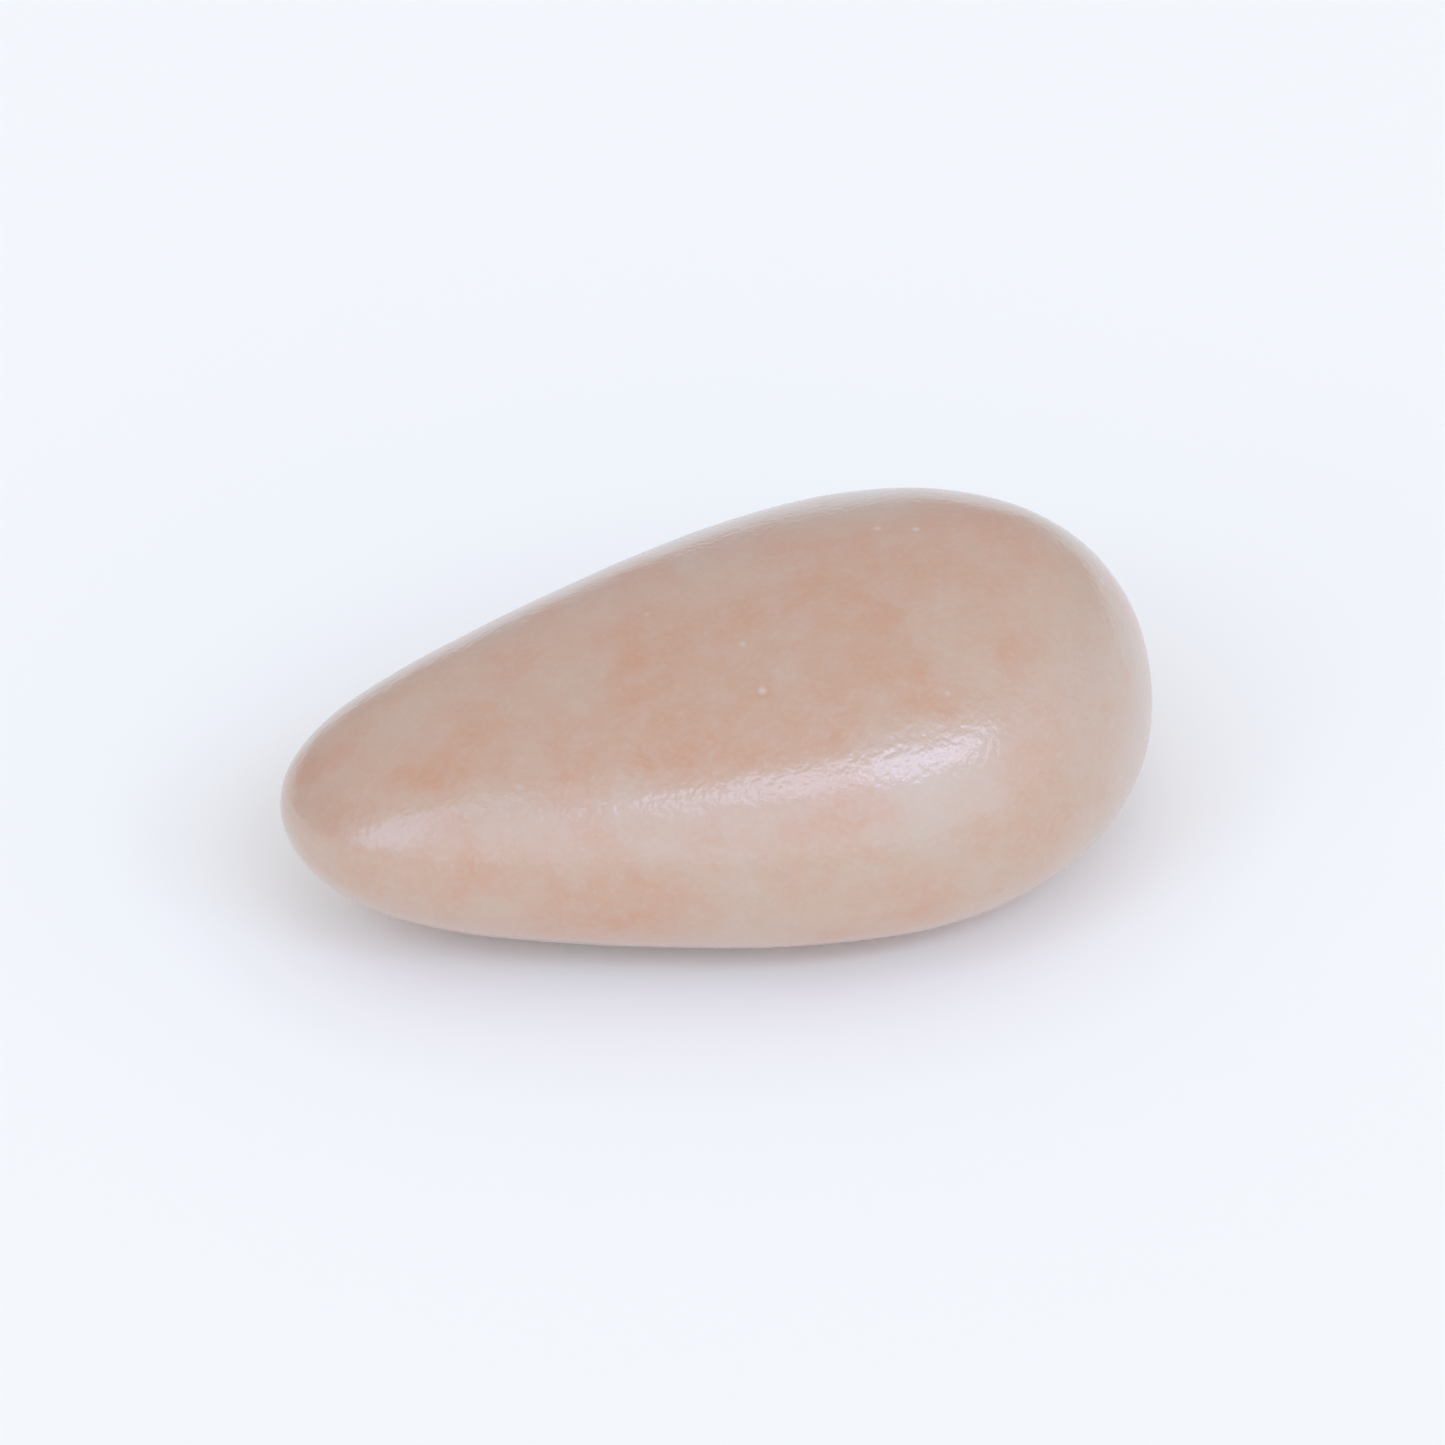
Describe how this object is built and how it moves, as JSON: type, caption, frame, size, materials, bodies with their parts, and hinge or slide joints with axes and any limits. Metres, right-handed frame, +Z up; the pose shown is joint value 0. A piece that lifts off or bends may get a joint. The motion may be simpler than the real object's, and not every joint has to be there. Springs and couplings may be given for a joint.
{
  "type": "sugared almond",
  "caption": "Sugared almond: a teardrop-shaped sweet with a smooth, satin-polished panned sugar coating, lying on its flat side, to serve or give as a sweet.",
  "frame": {"origin": "on the table, under the middle of the almond's outline", "axes": "+X from the slender tip to the blunt end, +Y across the width, +Z up, away from the table"},
  "size_m": [0.0304, 0.0188, 0.0118],
  "materials": {
    "sugar_coating": "satin"
  },
  "bodies": {
    "root": {"sugared_almond": "sugar_coating"}
  },
  "joints": []
}
